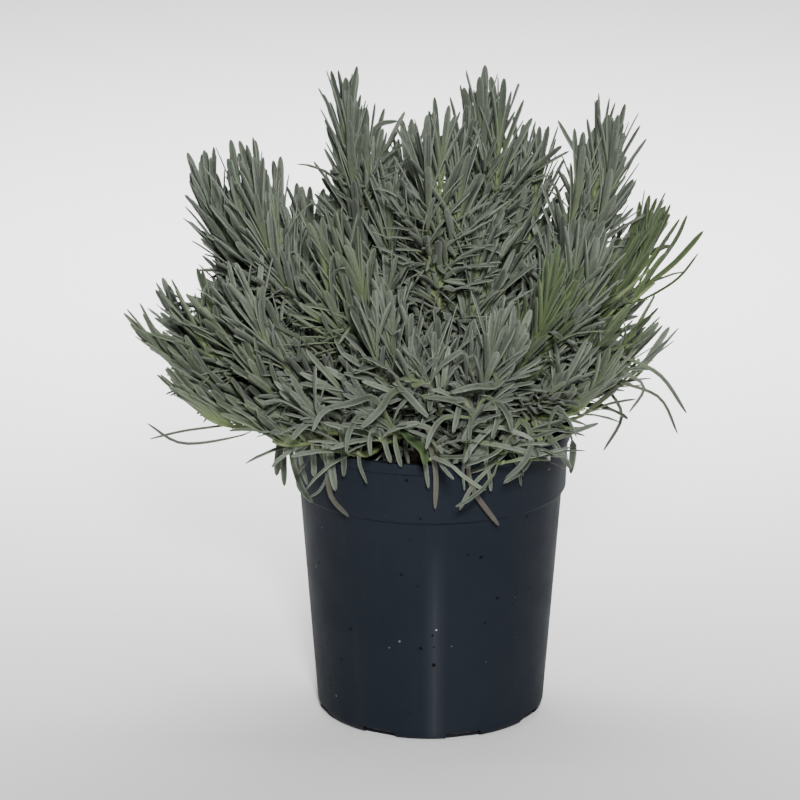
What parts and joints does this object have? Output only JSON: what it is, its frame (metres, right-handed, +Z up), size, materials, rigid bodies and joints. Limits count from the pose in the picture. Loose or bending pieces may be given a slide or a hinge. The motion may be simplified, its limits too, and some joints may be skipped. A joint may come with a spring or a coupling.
{
  "type": "potted lavender",
  "caption": "Young lavender bush with narrow grey-green leaves and no flowers, planted in compost in a round black plastic nursery pot.",
  "frame": {"origin": "centre of the pot's flat underside", "axes": "+Z up along the pot's axis; -Y is the front that the picture shows, +X is to its right"},
  "size_m": [0.3487, 0.2797, 0.3971],
  "materials": {
    "pot_plastic": "semi-matte moulded plastic, anthracite black",
    "compost": "dark moist peat with white grains",
    "grey_leaf": "grey-green felted leaf",
    "green_leaf": "fresh green leaf with little felt"
  },
  "bodies": {
    "root": {"pot": "pot_plastic", "soil": "compost", "shoot_left_tall": "grey_leaf", "shoot_left_broad": "grey_leaf", "shoot_left_inner": "grey_leaf", "shoot_left_mast": "grey_leaf", "shoot_left_middle": "grey_leaf", "shoot_centre_left": "grey_leaf", "shoot_front_left_upper": "grey_leaf", "shoot_centre_fan": "grey_leaf", "shoot_right_mast": "grey_leaf", "shoot_right_of_mast": "grey_leaf", "shoot_right_tall": "grey_leaf", "shoot_right_inner": "grey_leaf", "shoot_right_green": "green_leaf", "shoot_right_outer_green": "green_leaf", "shoot_right_side_green": "green_leaf", "shoot_front_green": "green_leaf", "shoot_front_right_upper": "grey_leaf", "shoot_right_low": "grey_leaf", "shoot_right_edge_low": "grey_leaf", "shoot_left_edge": "grey_leaf", "shoot_left_edge_back": "grey_leaf", "shoot_left_edge_front": "grey_leaf", "shoot_left_low": "grey_leaf", "shoot_left_front": "grey_leaf", "shoot_left_front_inner": "grey_leaf", "shoot_left_front_low": "grey_leaf", "shoot_front_left_low": "grey_leaf", "shoot_front_left_star": "grey_leaf", "shoot_front_centre": "grey_leaf", "shoot_front_centre_low": "grey_leaf", "shoot_front_right": "grey_leaf", "shoot_front_right_low": "grey_leaf", "shoot_right_front_low": "grey_leaf", "shoot_back_left_tall": "grey_leaf", "shoot_back_left": "grey_leaf", "shoot_back_centre_tall": "grey_leaf", "shoot_back_centre": "grey_leaf", "shoot_back_right_tall": "grey_leaf", "shoot_back_right": "grey_leaf", "shoot_back_right_edge": "grey_leaf", "shoot_back_left_edge": "grey_leaf", "shoot_back_low_left": "grey_leaf", "shoot_back_low": "grey_leaf", "shoot_back_low_right": "grey_leaf", "shoot_back_side_left": "grey_leaf", "shoot_back_side_right": "grey_leaf"}
  },
  "joints": []
}
